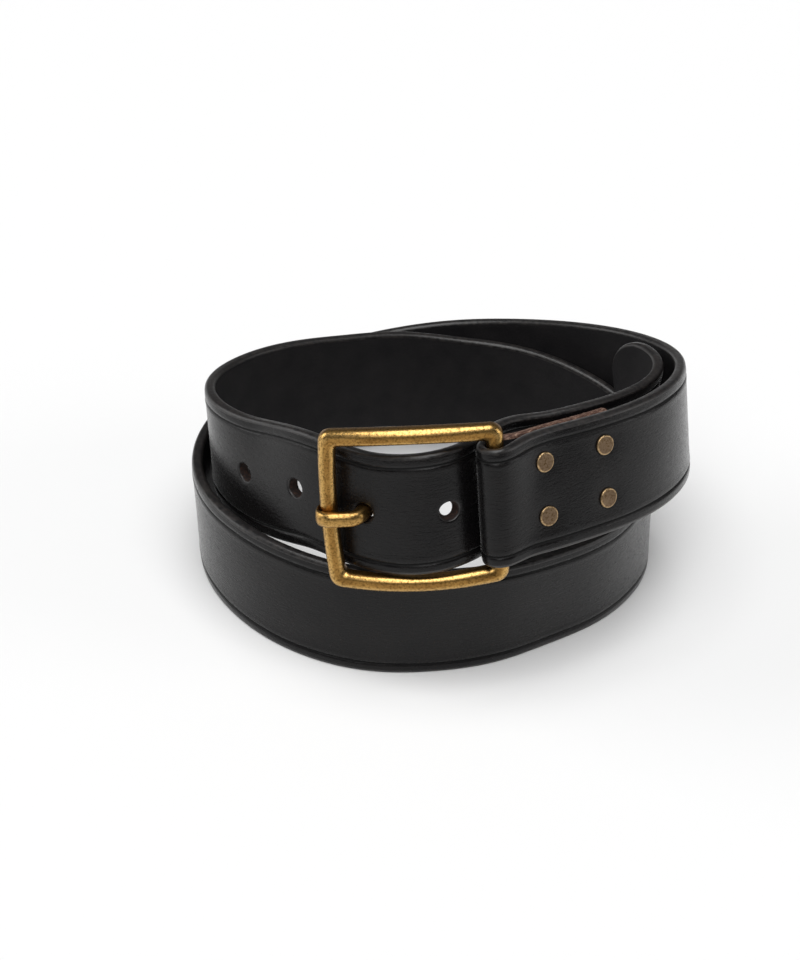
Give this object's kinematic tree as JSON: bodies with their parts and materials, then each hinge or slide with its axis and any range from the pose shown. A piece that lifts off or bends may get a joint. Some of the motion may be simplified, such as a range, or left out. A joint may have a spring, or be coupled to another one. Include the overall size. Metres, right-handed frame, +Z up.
{
  "type": "army belt",
  "caption": "Black leather belt with a square antique brass frame buckle, fastened and coiled on its lower edge, with a riveted fold and a punched tail.",
  "frame": {"origin": "under the middle of the outline, on the surface that the belt rests on", "axes": "+X to the right along the fastened buckle, +Y from the buckle towards the back of the coil, +Z up"},
  "size_m": [0.1626, 0.1454, 0.0899],
  "materials": {
    "leather": "black semi-gloss leather with creased and burnished edges",
    "brass": "cast antique brass with a dark patina and worn bright edges",
    "rivet": "dull antique brass"
  },
  "bodies": {
    "root": {"strap": "leather", "buckle_frame": "brass", "tongue": "brass", "rivet_1": "rivet", "rivet_2": "rivet", "rivet_3": "rivet", "rivet_4": "rivet"}
  },
  "joints": []
}
